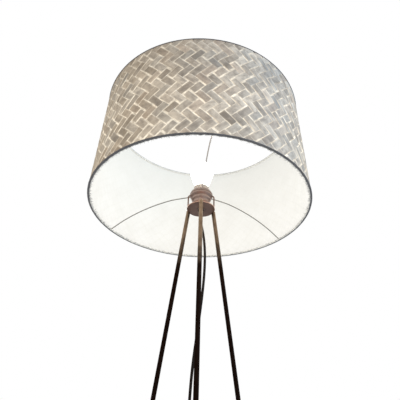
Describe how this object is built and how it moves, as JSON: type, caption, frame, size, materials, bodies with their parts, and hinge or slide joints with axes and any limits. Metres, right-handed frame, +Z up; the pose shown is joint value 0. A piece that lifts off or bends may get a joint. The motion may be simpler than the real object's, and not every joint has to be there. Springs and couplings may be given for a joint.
{
  "type": "tripod floor lamp",
  "caption": "Floor lamp on three slim straight legs with a large plaited drum shade, a lampholder with a globe bulb, a wire shade carrier and a mains cord with foot switch and plug.",
  "frame": {"origin": "on the floor under the lamp's vertical axis, which is the middle of the shade", "axes": "+Z up; -Y is the side of the single front leg; the two back legs are at 30 and 150 degrees"},
  "size_m": [0.5499, 0.55, 1.6],
  "materials": {
    "bronze_steel": "satin dark bronze paint",
    "foot_rubber": "matte black rubber",
    "holder_metal": "satin bronze",
    "ceramic": "glazed off-white",
    "brass": "plain brass",
    "zinc_steel": "zinc plated",
    "grip_plastic": "matte dark plastic",
    "cord_sheath": "satin dark brown PVC",
    "brown_lead": "PVC insulation",
    "blue_lead": "PVC insulation",
    "shade_wire": "light grey lacquer",
    "plaited_strip": "satin plaited plant strip, grey-brown",
    "lining": "translucent cream lining",
    "binding_tape": "charcoal tape",
    "opal_glass": "opal white glass, lit",
    "clear_glass": "clear glass",
    "filament": "phosphor-coated",
    "cap_metal": "nickel-plated",
    "black_glass": "black vitrite",
    "switch_plastic": "fine matte moulded plastic"
  },
  "bodies": {
    "stand": {"hub_plate": "bronze_steel", "leg_front": "bronze_steel", "leg_back_right": "bronze_steel", "leg_back_left": "bronze_steel", "leg_plugs": "bronze_steel", "carrier_wire_left": "bronze_steel", "carrier_wire_right": "bronze_steel", "carrier_ring": "bronze_steel", "foot_front": "foot_rubber", "foot_back_right": "foot_rubber", "foot_back_left": "foot_rubber", "holder_base": "holder_metal", "holder_skirt": "holder_metal", "holder_core": "ceramic", "screw_shell": "brass", "centre_contact": "brass", "side_contact": "brass", "terminal_screws": "brass", "switch_contacts": "brass", "plug_pins": "brass", "threaded_nipple": "zinc_steel", "nipple_top_nut": "zinc_steel", "nipple_washer": "zinc_steel", "nipple_bottom_nut": "zinc_steel", "switch_screws": "zinc_steel", "switch_spring": "zinc_steel", "cord_grip": "grip_plastic", "cord_inside": "cord_sheath", "cord_drop": "cord_sheath", "cord_lead": "cord_sheath", "cord_tail": "cord_sheath", "cord_coil": "cord_sheath", "live_lead": "brown_lead", "neutral_lead": "blue_lead", "switch_base": "switch_plastic", "switch_cover": "switch_plastic", "switch_relief_in": "switch_plastic", "switch_relief_out": "switch_plastic", "plug_body": "switch_plastic", "plug_relief": "switch_plastic"},
    "shade": {"fitter_ring": "shade_wire", "spider_arm_front": "shade_wire", "spider_arm_right": "shade_wire", "spider_arm_left": "shade_wire", "bottom_wire_ring": "shade_wire", "top_wire_ring": "shade_wire", "shade_cover": "plaited_strip", "shade_lining": "lining", "bottom_binding": "binding_tape", "top_binding": "binding_tape"},
    "retaining_ring": {"shade_ring": "holder_metal"},
    "bulb": {"bulb_globe": "opal_glass", "bulb_cap": "cap_metal", "bulb_insulator": "black_glass", "bulb_tip": "cap_metal", "bulb_stem": "clear_glass", "bulb_filaments": "filament", "filament_hub": "cap_metal"},
    "button": {"switch_button": "switch_plastic"}
  },
  "joints": [
    {"name": "shade_turn", "type": "hinge", "parent": "stand", "child": "shade", "pos_m": [0, 0, 1.3366], "axis": [0, 0, 1], "continuous": true},
    {"name": "ring_turn", "type": "hinge", "parent": "stand", "child": "retaining_ring", "pos_m": [0, 0, 1.34], "axis": [0, 0, 1], "continuous": true},
    {"name": "bulb_turn", "type": "hinge", "parent": "stand", "child": "bulb", "pos_m": [0, 0, 1.345], "axis": [0, 0, 1], "continuous": true},
    {"name": "switch_press", "type": "slide", "parent": "stand", "child": "button", "axis": [0, 0, -1], "range_m": [0, 0.0025], "stiffness_N_per_m": 400, "springref_m": -0.001, "deforming": ["switch_spring"]}
  ]
}
